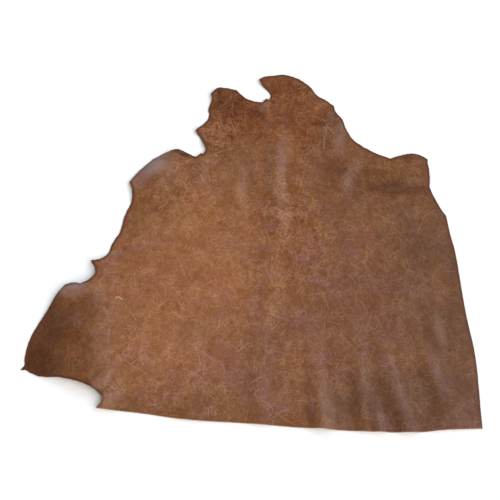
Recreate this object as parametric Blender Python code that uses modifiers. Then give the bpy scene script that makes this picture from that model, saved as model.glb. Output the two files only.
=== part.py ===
"""A brown cattle hide lying on a flat surface, modelled as one closed sheet.

Metres, +Z up. The origin is the middle of the hide's underside, and the cut near edge is toward -Y.
The outline is a closed curve through landmarks read from the photo. Its inside is filled with
triangles, lifted where the leather stands off the surface, and thickened upward.
"""

import math

import bpy
import numpy as np
from mathutils import Vector
from mathutils.geometry import delaunay_2d_cdt, interpolate_bezier

MM = 0.001
THICKNESS = 2.0 * MM
# The triangles stay under this pitch inside the hide and under this step along its outline
LATTICE_PITCH = 22.5 * MM
EDGE_STEP = 9.0 * MM
# A lattice point keeps this share of the pitch away from the outline
EDGE_CLEARANCE = 0.62
# Rows of a staggered lattice are this share of its pitch apart
ROW_SHARE = math.sqrt(3) / 2

LEATHER_COLOUR = (0.222, 0.103, 0.055, 1.0)
LEATHER_ROUGHNESS = 0.5
LEATHER_METALLIC = 0.0

# Each outline row: x and y in millimetres, and whether the edge turns sharply there.
# The stretches run counter-clockwise seen from above.
SMOOTH, SHARP = False, True
RIGHT_CUT_EDGE = [
    (644, -606, SHARP),
    (646, -554, SMOOTH),
    (651, -460, SMOOTH),
    (652, -390, SMOOTH),
    (643, -281, SMOOTH),
    (639, -173, SMOOTH),
    (635, -64, SMOOTH),
    (628, -10, SMOOTH),
    (623, 54, SHARP),
    (607, 79, SMOOTH),
    (592, 122, SMOOTH),
]
RIGHT_FLAP = [
    (582, 160, SHARP),
    (585, 196, SMOOTH),
    (586, 263, SHARP),
    (573, 273, SMOOTH),
    (536, 283, SMOOTH),
    (492, 275, SMOOTH),
    (464, 266, SHARP),
]
NECK_SLOPE = [
    (401, 298, SMOOTH),
    (350, 338, SMOOTH),
    (331, 371, SMOOTH),
    (316, 416, SHARP),
    (296, 447, SMOOTH),
    (290, 479, SHARP),
    (258, 506, SMOOTH),
    (240, 517, SMOOTH),
    (224, 535, SMOOTH),
    (217, 547, SHARP),
]
RIGHT_NECK_LOBE = [
    (186, 576, SMOOTH),
    (155, 593, SMOOTH),
    (128, 601, SMOOTH),
    (88, 600, SMOOTH),
    (51, 593, SMOOTH),
    (36, 584, SHARP),
    (49, 560, SMOOTH),
    (67, 539, SMOOTH),
    (75, 524, SMOOTH),
    (70, 499, SHARP),
    (60, 503, SHARP),
    (49, 491, SHARP),
]
LEFT_NECK_LOBE = [
    (22, 496, SMOOTH),
    (-6, 504, SMOOTH),
    (-21, 516, SMOOTH),
    (-41, 538, SHARP),
    (-83, 545, SMOOTH),
    (-107, 545, SMOOTH),
    (-129, 525, SHARP),
    (-126, 505, SMOOTH),
    (-136, 462, SMOOTH),
    (-134, 436, SMOOTH),
    (-155, 396, SMOOTH),
]
SPIKE_AND_NOTCH = [
    (-178, 373, SHARP),
    (-161, 348, SMOOTH),
    (-149, 323, SMOOTH),
    (-141, 299, SMOOTH),
    (-149, 280, SHARP),
    (-155, 284, SHARP),
    (-172, 270, SHARP),
]
LEFT_FLAP = [
    (-198, 281, SMOOTH),
    (-226, 292, SMOOTH),
    (-252, 290, SMOOTH),
    (-295, 273, SMOOTH),
    (-340, 233, SMOOTH),
    (-383, 175, SHARP),
    (-371, 139, SMOOTH),
    (-372, 104, SMOOTH),
]
BELLY_EDGE = [
    (-389, 59, SMOOTH),
    (-400, 0, SMOOTH),
    (-420, -42, SMOOTH),
    (-441, -93, SMOOTH),
    (-478, -108, SHARP),
    (-463, -133, SMOOTH),
    (-467, -163, SMOOTH),
    (-499, -185, SHARP),
    (-520, -180, SMOOTH),
    (-545, -184, SHARP),
]
FORELEG_LOBE = [
    (-564, -211, SMOOTH),
    (-591, -262, SMOOTH),
    (-633, -347, SMOOTH),
    (-642, -402, SMOOTH),
    (-640, -429, SHARP),
    (-649, -441, SHARP),
    (-635, -441, SHARP),
    (-602, -457, SMOOTH),
    (-530, -467, SMOOTH),
    (-468, -483, SMOOTH),
    (-424, -505, SMOOTH),
    (-407, -528, SMOOTH),
]
NEAR_CUT_EDGE = [
    (-423, -551, SHARP),
    (-298, -564, SMOOTH),
    (-173, -581, SMOOTH),
    (-14, -591, SMOOTH),
    (197, -607, SMOOTH),
    (358, -615, SMOOTH),
    (460, -616, SMOOTH),
    (549, -609, SMOOTH),
]
OUTLINE = (
    RIGHT_CUT_EDGE
    + RIGHT_FLAP
    + NECK_SLOPE
    + RIGHT_NECK_LOBE
    + LEFT_NECK_LOBE
    + SPIKE_AND_NOTCH
    + LEFT_FLAP
    + BELLY_EDGE
    + FORELEG_LOBE
    + NEAR_CUT_EDGE
)

# Each fold is a soft ridge, in millimetres: name, the crest's start, middle and end, the height at
# each, and how far the ridge reaches to the left and right of the way its crest runs.
FOLDS = [
    ("foreleg roll", (-486, -178), (-478, -320), (-452, -500), (20, 36, 22), (120, 165)),
    ("foreleg shoulder", (-572, -232), (-530, -212), (-466, -196), (4, 12, 7), (34, 60)),
    ("foreleg hook", (-558, -214), (-544, -222), (-541, -244), (2, 3, 1), (12, 14)),
    ("left flap fold", (-246, 250), (-292, 206), (-362, 158), (12, 19, 9), (90, 74)),
    ("left flap hump", (-236, 290), (-256, 272), (-274, 252), (6, 9, 3), (30, 32)),
    ("left flap rolled edge", (-196, 282), (-222, 300), (-248, 304), (3, 9, 6), (26, 16)),
    ("belly tip", (-486, -101), (-446, -114), (-398, -142), (9, 7, 1), (40, 32)),
    ("belly fold near", (-482, -162), (-440, -178), (-380, -206), (6, 5, 1), (26, 22)),
    ("belly fold far", (-448, -92), (-412, -98), (-352, -92), (4, 6, 1), (34, 30)),
    ("spike fold", (-182, 381), (-142, 376), (-92, 352), (9, 7, 1), (34, 28)),
    ("spike near fold", (-152, 322), (-122, 318), (-88, 304), (6, 5, 1), (24, 22)),
    ("left notch fold", (-152, 292), (-156, 168), (-196, 100), (6, 5, 1), (50, 46)),
    ("neck notch fold", (62, 512), (58, 470), (50, 432), (7, 7, 2), (18, 20)),
    ("left neck lobe lift", (-150, 552), (-84, 576), (-16, 540), (12, 16, 8), (20, 110)),
    ("right neck lobe lift", (30, 612), (120, 630), (214, 578), (11, 15, 9), (20, 92)),
    ("right flap turned edge", (592, 296), (500, 300), (380, 330), (9, 8, 4), (34, 16)),
    ("right flap wave", (600, 196), (492, 190), (350, 140), (9, 7, 1), (44, 62)),
    ("right flap second wave", (604, 86), (484, 74), (352, 34), (5, 4, 1), (46, 52)),
    ("neck slope wave", (302, 432), (274, 350), (254, 270), (8, 9, 1), (56, 44)),
    ("rump wave", (338, 270), (314, 206), (282, 128), (5, 6, 1), (46, 44)),
    ("centre fold far", (100, 480), (80, 262), (100, 36), (4, 9, 5), (46, 44)),
    ("centre fold middle", (98, 60), (62, -180), (34, -380), (4, 3, 2), (46, 60)),
    ("centre fold near", (36, -350), (27, -480), (30, -612), (2, 4, 4), (52, 44)),
    ("shoulder wave", (-34, 290), (-46, 158), (-44, 30), (1, 6, 1), (52, 58)),
    ("chest crease", (-560, -333), (-290, -334), (-30, -340), (2, 3, 1), (40, 26)),
    ("near wave one", (176, -300), (188, -460), (202, -625), (1, 6, 9), (44, 40)),
    ("near wave two", (304, -380), (314, -500), (320, -625), (1, 6, 5), (40, 38)),
    ("near wave three", (352, -520), (356, -576), (362, -625), (1, 4, 7), (22, 26)),
    ("near wave four", (384, -370), (404, -490), (444, -625), (2, 7, 8), (36, 42)),
    ("near wave five", (536, -250), (542, -312), (552, -370), (1, 6, 2), (34, 36)),
    ("near wave six", (504, -366), (522, -468), (566, -550), (3, 7, 2), (36, 40)),
    ("bay fold far", (-436, -486), (-400, -440), (-356, -388), (6, 5, 1), (24, 26)),
    ("bay fold near", (-408, -520), (-370, -500), (-318, -474), (5, 4, 1), (24, 24)),
]
CREST_STEPS = 10

# The whole hide also swells a little: the direction, wavelength in millimetres and phase of each wave.
# Only where their mean is over SWELL_START does the hide leave the surface.
SWELL_HEIGHT = 9.0
SWELL_START = 0.25
SWELLS = [
    (24, 330, 0.6),
    (82, 410, 2.1),
    (143, 290, 4.4),
]


def clear_scene():
    """Removes every object that the opened file holds."""
    for thing in list(bpy.data.objects):
        bpy.data.objects.remove(thing, do_unlink=True)


def new_collection(name):
    """A collection for the object, linked to the scene."""
    collection = bpy.data.collections.new(name)
    bpy.context.scene.collection.children.link(collection)
    return collection


def leather_material():
    """The plain brown of the hide."""
    material = bpy.data.materials.new("leather")
    material.use_nodes = True
    shader = material.node_tree.nodes["Principled BSDF"]
    shader.inputs["Base Color"].default_value = LEATHER_COLOUR
    shader.inputs["Roughness"].default_value = LEATHER_ROUGHNESS
    shader.inputs["Metallic"].default_value = LEATHER_METALLIC
    material.diffuse_color = LEATHER_COLOUR
    return material


def outline_spline():
    """The outline as a closed Bezier spline, its handles worked out by Blender."""
    curve = bpy.data.curves.new("hide outline", "CURVE")
    spline = curve.splines.new("BEZIER")
    spline.bezier_points.add(len(OUTLINE) - 1)
    spline.use_cyclic_u = True
    for point, (x, y, sharp) in zip(spline.bezier_points, OUTLINE):
        point.co = (x * MM, y * MM, 0.0)
        point.handle_left_type = "VECTOR" if sharp else "AUTO"
        point.handle_right_type = "VECTOR" if sharp else "AUTO"
    return curve, spline


def outline_points(step):
    """Points around the outline, no more than about a step apart."""
    curve, spline = outline_spline()
    knots = list(spline.bezier_points)
    points = []
    for start, end in zip(knots, knots[1:] + knots[:1]):
        count = max(2, math.ceil((end.co - start.co).length / step) + 1)
        stretch = interpolate_bezier(start.co, start.handle_right, end.handle_left, end.co, count)
        points += [(p.x, p.y) for p in stretch[:-1]]
    bpy.data.curves.remove(curve)
    return np.array(points)


def inside(points, outline):
    """Which points lie inside the outline, by the number of edges that a ray toward +X crosses."""
    crossings = np.zeros(len(points), dtype=int)
    x, y = points[:, 0], points[:, 1]
    for (ax, ay), (bx, by) in zip(outline, np.roll(outline, -1, axis=0)):
        spans = (ay > y) != (by > y)
        if ay != by:
            crossings += spans & (x < ax + (y - ay) * (bx - ax) / (by - ay))
    return crossings % 2 == 1


def lattice_points(outline, pitch):
    """A staggered lattice over the inside of the outline, clear of the edge."""
    low, high = outline.min(axis=0), outline.max(axis=0)
    rows = np.arange(low[1], high[1], pitch * ROW_SHARE)
    points = []
    for number, y in enumerate(rows):
        shift = pitch / 2 if number % 2 else 0.0
        xs = np.arange(low[0] + shift, high[0], pitch)
        points.append(np.stack([xs, np.full_like(xs, y)], axis=1))
    points = np.concatenate(points)
    points = points[inside(points, outline)]
    gaps = np.linalg.norm(points[:, None] - outline[None], axis=2).min(axis=1)
    return points[gaps > pitch * EDGE_CLEARANCE]


def crest_points(start, middle, end):
    """Points and shares along the curve that passes through a crest's three places."""
    start, middle, end = (Vector(place) for place in (start, middle, end))
    bend = 2.0 * middle - 0.5 * (start + end)
    shares = np.linspace(0.0, 1.0, CREST_STEPS + 1)
    return [start * (1 - t) ** 2 + bend * 2 * t * (1 - t) + end * t**2 for t in shares], shares


def fold_height(x, y, crest, heights, reaches):
    """The height of one soft ridge at each point, in millimetres."""
    points, shares = crest_points(*crest)
    nearest = np.full_like(x, np.inf)
    share_there = np.zeros_like(x)
    side = np.zeros_like(x)
    for start, end, low, high in zip(points, points[1:], shares, shares[1:]):
        run = end - start
        along = ((x - start.x) * run.x + (y - start.y) * run.y) / run.length_squared
        along = np.clip(along, 0.0, 1.0)
        off_x = x - start.x - along * run.x
        off_y = y - start.y - along * run.y
        gap = np.hypot(off_x, off_y)
        closer = gap < nearest
        nearest = np.where(closer, gap, nearest)
        share_there = np.where(closer, low + along * (high - low), share_there)
        # +1 straight to the left of the crest, -1 straight to its right, 0 beyond its ends
        sideways = (run.x * off_y - run.y * off_x) / (run.length * np.maximum(gap, 1e-6))
        side = np.where(closer, sideways, side)
    reach = 0.5 * (reaches[0] + reaches[1]) + 0.5 * (reaches[0] - reaches[1]) * side
    height = np.interp(share_there, (0.0, 0.5, 1.0), heights)
    return height * 0.5 * (1.0 + np.cos(math.pi * np.minimum(nearest / reach, 1.0)))


def swell_height(x, y):
    """The height of the hide's slow swell at each point, in millimetres."""
    total = np.zeros_like(x)
    for degrees, wavelength, phase in SWELLS:
        turn = math.radians(degrees)
        total += np.cos((x * math.cos(turn) + y * math.sin(turn)) * math.tau / wavelength + phase)
    return SWELL_HEIGHT * np.maximum(total / len(SWELLS) - SWELL_START, 0.0) ** 2


def underside_height(x, y):
    """How far the underside stands off the surface, in metres. It is 0 where the hide lies flat."""
    x_mm, y_mm = x / MM, y / MM
    total = swell_height(x_mm, y_mm)
    for _name, start, middle, end, heights, reaches in FOLDS:
        total += fold_height(x_mm, y_mm, (start, middle, end), heights, reaches)
    return total * MM


def filled_outline():
    """The outline filled with triangles: its points and its faces, seen from above."""
    outline = outline_points(EDGE_STEP)
    points = np.concatenate([outline, lattice_points(outline, LATTICE_PITCH)])
    count = len(outline)
    edges = [(k, (k + 1) % count) for k in range(count)]
    vectors = [Vector(p) for p in points]
    kept_inside = 1
    found = delaunay_2d_cdt(vectors, edges, [], kept_inside, 1e-7)
    return np.array([tuple(v) for v in found[0]]), found[2]


def build_hide(collection):
    """The hide: its underside as a filled outline, lifted at the folds and thickened upward."""
    points, faces = filled_outline()
    heights = underside_height(points[:, 0], points[:, 1])
    middle = (points.min(axis=0) + points.max(axis=0)) / 2
    vertices = [(x, y, z) for (x, y), z in zip(points - middle, heights)]
    mesh = bpy.data.meshes.new("hide")
    mesh.from_pydata(vertices, [], faces)
    mesh.materials.append(leather_material())
    hide = bpy.data.objects.new("hide", mesh)
    collection.objects.link(hide)
    sheet = hide.modifiers.new("thickness", "SOLIDIFY")
    sheet.thickness = THICKNESS
    sheet.offset = 1.0
    sheet.use_even_offset = True
    return hide


def main():
    """Builds the hide in a scene of its own."""
    clear_scene()
    build_hide(new_collection("leather hide"))


main()
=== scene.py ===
"""The looks of a brown cattle hide that lies on a pale floor, written as a Blender add-on.

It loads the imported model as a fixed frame, lays a finely meshed sheet of leather on that model's
folds and dresses its grain side, flesh side and raw edge. Lengths in the tables are millimetres.
"""

import math

import bpy
import numpy as np
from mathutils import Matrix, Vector, kdtree, noise
from mathutils.geometry import delaunay_2d_cdt, interpolate_bezier


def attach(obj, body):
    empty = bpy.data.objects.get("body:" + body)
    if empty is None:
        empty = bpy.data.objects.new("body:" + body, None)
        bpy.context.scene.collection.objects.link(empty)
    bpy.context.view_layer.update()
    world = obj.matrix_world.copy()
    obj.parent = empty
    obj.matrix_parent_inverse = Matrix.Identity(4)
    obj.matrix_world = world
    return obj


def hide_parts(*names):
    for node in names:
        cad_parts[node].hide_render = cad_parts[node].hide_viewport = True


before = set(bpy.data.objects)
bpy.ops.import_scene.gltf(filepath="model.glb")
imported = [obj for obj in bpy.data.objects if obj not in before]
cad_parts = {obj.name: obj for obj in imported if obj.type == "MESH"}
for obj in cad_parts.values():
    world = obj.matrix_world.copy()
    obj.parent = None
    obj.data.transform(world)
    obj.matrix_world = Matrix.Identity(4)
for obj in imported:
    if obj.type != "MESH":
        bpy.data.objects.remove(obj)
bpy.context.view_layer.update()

bl_info = {
    "name": "Leather Hide",
    "version": (1, 0, 0),
    "blender": (4, 5, 0),
    "location": "3D View > Sidebar > Leather Hide",
    "description": "Builds a brown cattle hide with its folds, grain, raw edges and studio",
    "category": "Object",
}

MM = 0.001
CAD_NODE = "hide"
BODY = "root"
ROW_SHARE = math.sqrt(3) / 2
# A lattice point keeps this share of the pitch away from the outline
EDGE_CLEARANCE = 0.62
CREST_STEPS = 10

# Each outline row: x and y in millimetres, then SHARP where the edge turns sharply, which is the
# handle type of such a curve point. The stretches run counter-clockwise seen from above.
SHARP = "VECTOR"
RIGHT_CUT_EDGE = [
    (644, -606, SHARP), (646, -554), (651, -460), (652, -390), (643, -281), (639, -173), (635, -64),
    (628, -10), (623, 54, SHARP), (607, 79), (592, 122),
]
RIGHT_FLAP = [
    (582, 160, SHARP), (585, 196), (586, 263, SHARP), (573, 273), (536, 283), (492, 275),
    (464, 266, SHARP),
]
NECK_SLOPE = [
    (401, 298), (350, 338), (331, 371), (316, 416, SHARP), (296, 447), (290, 479, SHARP),
    (258, 506), (240, 517), (224, 535), (217, 547, SHARP),
]
RIGHT_NECK_LOBE = [
    (186, 576), (155, 593), (128, 601), (88, 600), (51, 593), (36, 584, SHARP), (49, 560),
    (67, 539), (75, 524), (70, 499, SHARP), (60, 503, SHARP), (49, 491, SHARP),
]
LEFT_NECK_LOBE = [
    (22, 496), (-6, 504), (-21, 516), (-41, 538, SHARP), (-83, 545), (-107, 545),
    (-129, 525, SHARP), (-126, 505), (-136, 462), (-134, 436), (-155, 396),
]
SPIKE_AND_NOTCH = [
    (-178, 373, SHARP), (-161, 348), (-149, 323), (-141, 299), (-149, 280, SHARP),
    (-155, 284, SHARP), (-172, 270, SHARP),
]
LEFT_FLAP = [
    (-198, 281), (-226, 292), (-252, 290), (-295, 273), (-340, 233), (-383, 175, SHARP),
    (-371, 139), (-372, 104),
]
BELLY_EDGE = [
    (-389, 59), (-400, 0), (-420, -42), (-441, -93), (-478, -108, SHARP), (-463, -133),
    (-467, -163), (-499, -185, SHARP), (-520, -180), (-545, -184, SHARP),
]
FORELEG_LOBE = [
    (-564, -211), (-591, -262), (-633, -347), (-642, -402), (-640, -429, SHARP),
    (-649, -441, SHARP), (-635, -441, SHARP), (-602, -457), (-530, -467), (-468, -483),
    (-424, -505), (-407, -528),
]
NEAR_CUT_EDGE = [
    (-423, -551, SHARP), (-298, -564), (-173, -581), (-14, -591), (197, -607), (358, -615),
    (460, -616), (549, -609),
]
NATURAL_EDGE = (
    RIGHT_FLAP + NECK_SLOPE + RIGHT_NECK_LOBE + LEFT_NECK_LOBE
    + SPIKE_AND_NOTCH + LEFT_FLAP + BELLY_EDGE + FORELEG_LOBE
)
# Each stretch of the outline, whether a knife trimmed it straight, and how pale its fibres show
STRETCHES = [
    (RIGHT_CUT_EDGE, True, 0.15),
    (NATURAL_EDGE, False, 0.0),
    (NEAR_CUT_EDGE, True, 0.7),
]

# Each fold is a soft ridge: name, the crest's start, middle and end, the height at each, and how
# far the ridge reaches to the left and right of the way its crest runs.
FOLDS = [
    ("foreleg roll", (-486, -178), (-478, -320), (-452, -500), (20, 36, 22), (120, 165)),
    ("foreleg shoulder", (-572, -232), (-530, -212), (-466, -196), (4, 12, 7), (34, 60)),
    ("foreleg hook", (-558, -214), (-544, -222), (-541, -244), (2, 3, 1), (12, 14)),
    ("left flap fold", (-246, 250), (-292, 206), (-362, 158), (12, 19, 9), (90, 74)),
    ("left flap hump", (-236, 290), (-256, 272), (-274, 252), (6, 9, 3), (30, 32)),
    ("left flap rolled edge", (-196, 282), (-222, 300), (-248, 304), (3, 9, 6), (26, 16)),
    ("belly tip", (-486, -101), (-446, -114), (-398, -142), (9, 7, 1), (40, 32)),
    ("belly fold near", (-482, -162), (-440, -178), (-380, -206), (6, 5, 1), (26, 22)),
    ("belly fold far", (-448, -92), (-412, -98), (-352, -92), (4, 6, 1), (34, 30)),
    ("spike fold", (-182, 381), (-142, 376), (-92, 352), (9, 7, 1), (34, 28)),
    ("spike near fold", (-152, 322), (-122, 318), (-88, 304), (6, 5, 1), (24, 22)),
    ("left notch fold", (-152, 292), (-156, 168), (-196, 100), (6, 5, 1), (50, 46)),
    ("neck notch fold", (62, 512), (58, 470), (50, 432), (7, 7, 2), (18, 20)),
    ("left neck lobe lift", (-150, 552), (-84, 576), (-16, 540), (12, 16, 8), (20, 110)),
    ("right neck lobe lift", (30, 612), (120, 630), (214, 578), (11, 15, 9), (20, 92)),
    ("right flap turned edge", (592, 296), (500, 300), (380, 330), (9, 8, 4), (34, 16)),
    ("right flap wave", (600, 196), (492, 190), (350, 140), (9, 7, 1), (44, 62)),
    ("right flap second wave", (604, 86), (484, 74), (352, 34), (5, 4, 1), (46, 52)),
    ("neck slope wave", (302, 432), (274, 350), (254, 270), (8, 9, 1), (56, 44)),
    ("rump wave", (338, 270), (314, 206), (282, 128), (5, 6, 1), (46, 44)),
    ("centre fold far", (100, 480), (80, 262), (100, 36), (4, 9, 5), (46, 44)),
    ("centre fold middle", (98, 60), (62, -180), (34, -380), (4, 3, 2), (46, 60)),
    ("centre fold near", (36, -350), (27, -480), (30, -612), (2, 4, 4), (52, 44)),
    ("shoulder wave", (-34, 290), (-46, 158), (-44, 30), (1, 6, 1), (52, 58)),
    ("chest crease", (-560, -333), (-290, -334), (-30, -340), (2, 3, 1), (40, 26)),
    ("near wave one", (176, -300), (188, -460), (202, -625), (1, 6, 9), (44, 40)),
    ("near wave two", (304, -380), (314, -500), (320, -625), (1, 6, 5), (40, 38)),
    ("near wave three", (352, -520), (356, -576), (362, -625), (1, 4, 7), (22, 26)),
    ("near wave four", (384, -370), (404, -490), (444, -625), (2, 7, 8), (36, 42)),
    ("near wave five", (536, -250), (542, -312), (552, -370), (1, 6, 2), (34, 36)),
    ("near wave six", (504, -366), (522, -468), (566, -550), (3, 7, 2), (36, 40)),
    ("bay fold far", (-436, -486), (-400, -440), (-356, -388), (6, 5, 1), (24, 26)),
    ("bay fold near", (-408, -520), (-370, -500), (-318, -474), (5, 4, 1), (24, 24)),
]

# The finer creases, which only the looks have, in the same columns as the folds
CREASES = [
    ("flap fold line", (-306, 262), (-284, 264), (-254, 258), (1.4, 2.2, 1.0), (9, 12)),
    ("flap plane ridge", (-350, 128), (-284, 184), (-242, 246), (1.0, 3.4, 2.4), (54, 18)),
    ("flap inner pleat", (-238, 262), (-224, 270), (-206, 270), (0.8, 1.4, 0.4), (8, 8)),
    ("tip pleat one", (-470, -112), (-440, -134), (-410, -148), (1.6, 1.8, 0.3), (9, 8)),
    ("tip pleat two", (-462, -130), (-430, -158), (-388, -186), (1.2, 1.6, 0.3), (8, 9)),
    ("tip pleat three", (-440, -100), (-404, -130), (-362, -204), (0.6, 1.4, 0.3), (10, 9)),
    ("lobe streak one", (-596, -372), (-560, -380), (-520, -378), (0.3, 1.2, 0.2), (8, 9)),
    ("lobe streak two", (-604, -410), (-566, -412), (-524, -406), (0.3, 1.3, 0.2), (8, 8)),
    ("lobe streak three", (-580, -330), (-540, -322), (-500, -300), (0.2, 1.0, 0.2), (9, 9)),
    ("bay pleat one", (-420, -496), (-404, -470), (-398, -430), (1.0, 1.5, 0.3), (9, 9)),
    ("bay pleat two", (-408, -512), (-384, -486), (-352, -456), (1.0, 1.4, 0.3), (9, 10)),
    ("bay pleat three", (-414, -540), (-380, -528), (-336, -520), (0.8, 1.3, 0.2), (8, 9)),
    ("notch pleat one", (56, 496), (50, 470), (44, 440), (1.4, 1.6, 0.3), (7, 8)),
    ("notch pleat two", (66, 492), (84, 470), (110, 452), (0.8, 1.0, 0.2), (9, 8)),
    ("left notch pleat", (-152, 280), (-134, 274), (-108, 268), (1.2, 1.3, 0.2), (8, 7)),
    ("spike pleat", (-172, 366), (-146, 356), (-112, 344), (0.8, 1.2, 0.2), (8, 8)),
    ("turned edge line", (584, 262), (500, 262), (372, 268), (1.4, 1.3, 0.5), (9, 13)),
    ("flap ripple", (560, 232), (500, 238), (440, 240), (0.3, 0.8, 0.2), (12, 12)),
    ("notch streak", (-162, 284), (-162, 200), (-170, 116), (1.0, 2.6, 0.6), (24, 28)),
    ("shoulder streak", (-44, 266), (-42, 170), (-36, 66), (0.8, 2.6, 0.6), (24, 30)),
    ("near streak one", (180, -450), (190, -540), (203, -625), (0.3, 1.8, 3.4), (26, 30)),
    ("near streak three", (346, -520), (352, -570), (360, -625), (0.4, 2.2, 3.0), (20, 22)),
    ("rump streak", (316, 228), (304, 180), (290, 136), (0.6, 2.2, 0.4), (24, 26)),
    ("belly pucker one", (-398, 16), (-376, 22), (-350, 18), (0.9, 1.0, 0.2), (9, 10)),
    ("belly pucker two", (-422, -44), (-398, -46), (-370, -56), (1.0, 1.1, 0.2), (9, 9)),
    ("belly pucker three", (-386, 66), (-362, 72), (-336, 70), (0.9, 0.9, 0.2), (9, 9)),
]

# The whole hide also swells a little: the direction, wavelength and phase of each wave.
# Only where their mean is over SWELL_START does the hide leave the surface.
SWELL_HEIGHT = 9.0
SWELL_START = 0.25
SWELLS = [
    (24, 330, 0.6),
    (82, 410, 2.1),
    (143, 290, 4.4),
]

# Soft oval patches of colour, partly the dye's own uneven tone and partly painted light: painted
# shade on the foreleg lobe, the neck lobes, the right flap's fold band and the slopes turned from the
# lamps, painted shadow beside the foreleg roll and under the flap's rolled edge, painted sheen on the
# foreleg, and painted light that evens out the shade on some fold sides. Columns: name, centre,
# reach along and across, turn in degrees, how much lighter or darker (below 0), how much warmer or
# cooler (below 0), how far toward dark red-brown.
# In this table and in MARKINGS, an amount of 0 may be left out at a row's end.
TONE_AND_PAINTED_LIGHT_PATCHES = [
    # Painted shade on the foreleg lobe, which rolls down away from the lamps.
    ("foreleg lobe", (-606, -350), (226, 130), 80, 0.0, 0.6, 0.80),
    # Painted sheen on the foreleg lobe, lighter and cooler.
    ("foreleg light", (-530, -404), (70, 40), 10, 0.22, -0.6, -0.10),
    ("foreleg far shade", (-440, -235), (120, 34), 0, -0.11),
    # Painted shadow beside the foreleg roll, then painted light that evens out the shade on the roll's
    # slope.
    ("chest crease shade", (-405, -357), (96, 28), 0, -0.10, 1.2, 0.24),
    ("foreleg roll shade", (-434, -338), (64, 26), 84, 0.14, 1.9),
    ("foreleg tip", (-604, -432), (130, 66), 0, -0.18, 0.4, 0.34),
    ("foreleg inner", (-468, -350), (200, 90), 84, -0.13, 1.3, 0.30),
    # Painted shade on the two neck lobes, which lift and turn from the lamps.
    ("left neck lobe", (-90, 490), (104, 94), 0, -0.17, 0.9, 0.36),
    ("right neck lobe", (118, 580), (160, 84), 5, 0.0, 0.8, 0.26),
    ("neck", (70, 440), (270, 200), 0, 0.50, 1.5, 0.76),
    ("neck left side", (-104, 395), (120, 90), 0, 0.14, -0.9),
    ("neck notch", (14, 440), (60, 60), 0, 0.0, 0.3, 0.18),
    # Painted light that evens out the shade on the centre fold's dark side, in two parts.
    ("centre fold shade", (66, 360), (110, 34), 88, 0.30, 1.9),
    ("centre fold near shade", (46, 220), (140, 34), 86, 0.08, 1.3, 0.04),
    ("neck slope", (276, 222), (90, 60), 70, 0.10, 1.1, 0.62),
    # Painted shade on the neck slope, and painted light that evens out the shade on its dark side.
    ("slope shade", (272, 385), (110, 70), 79, -0.22, 0.8, 0.10),
    ("slope dark side", (264, 385), (100, 26), 79, 0.28, 1.9),
    ("rump shade", (356, 180), (170, 70), 84, -0.14, 0.4, 0.04),
    ("right of the rump", (465, -10), (190, 110), 90, -0.13),
    ("right corner", (640, 110), (110, 64), 70, -0.18),
    ("middle right", (140, 200), (230, 80), 90, 0.10),
    ("near middle light", (150, -385), (110, 70), 60, 0.17),
    ("left near shade", (-150, -350), (90, 90), 0, -0.19),
    ("right flank", (450, -300), (160, 110), 90, -0.04),
    ("rump light", (345, -50), (100, 70), 80, 0.18),
    ("middle light", (180, -30), (130, 110), 0, 0.08),
    ("middle shade", (-50, 10), (120, 64), 90, -0.10),
    ("near half", (20, -400), (430, 220), 0, 0.05, -1.1),
    ("near slope shade", (248, -545), (90, 84), 0, -0.11),
    ("flap under plane", (-300, 152), (90, 34), 42, -0.01, 0.9, 0.10),
    # Painted shadow under the flap's rolled edge.
    ("flap rolled edge shadow", (-218, 284), (50, 18), -22, -0.34, 0.6, 0.95),
    ("right flap", (480, 190), (190, 130), 0, -0.08, 0.7, 0.06),
    # Painted shade, in dark red-brown, on the right flap's fold band and turned-up strip.
    ("right flap band", (490, 152), (160, 38), -2, 0.12, 1.5, 0.84),
    ("right flap turned", (530, 276), (100, 26), 0, 0.06, 1.5, 0.76),
    ("right flap light", (520, 226), (110, 34), 0, 0.10, 0.2),
    ("right edge", (620, -200), (450, 210), 92, -0.27, 0.1, 0.03),
    ("right flank light", (556, -190), (110, 60), 90, 0.18),
    ("near right", (450, -540), (290, 150), 0, -0.29, -0.8),
    ("right half", (330, -260), (440, 320), 90, -0.02, -1.0),
    ("near middle", (60, -480), (260, 120), 0, 0.09, -0.9),
    ("left middle", (-190, -180), (430, 330), 78, 0.43, -0.25),
    ("left near", (-230, -410), (240, 160), 0, 0.16, -0.5),
    ("belly", (-340, 90), (180, 110), 50, -0.03, 0.8, 0.05),
    ("shoulder", (-130, 140), (220, 150), 80, 0.18, 0.2),
    ("middle", (70, -60), (360, 240), 90, 0.20),
]

# Painted sheen, a mauve-grey reflection laid on the ridges, slopes and flats that face the lamps:
# name, centre, reach along and across, turn in degrees, how strong
PAINTED_SHEEN_PATCHES = [
    ("flap plane near end", (-340, 184), (66, 34), 52, 0.30),
    ("flap plane far end", (-286, 226), (64, 38), 38, 0.56),
    ("foreleg corner", (-522, -210), (76, 30), 6, 0.42),
    ("notch ridge", (54, 472), (12, 40), -12, 0.26),
    ("left ridge", (-143, 196), (96, 24), 88, 0.16),
    ("shoulder ridge", (-21, 165), (112, 26), 88, 0.16),
    ("centre ridge", (118, 300), (120, 38), 84, 0.27),
    ("centre ridge near end", (103, 150), (110, 30), 88, 0.16),
    ("slope ridge", (302, 345), (86, 34), 86, 0.20),
    ("rump ridge", (320, 178), (70, 28), 77, 0.16),
    ("near ridge one", (211, -540), (84, 26), -76, 0.15),
    ("near ridge two", (334, -498), (84, 26), -80, 0.06),
    ("near ridge four", (430, -503), (110, 30), -72, 0.06),
    ("near ridge five", (551, -300), (56, 28), -77, 0.10),
    ("near ridge six", (555, -440), (90, 30), -68, 0.08),
]

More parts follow.
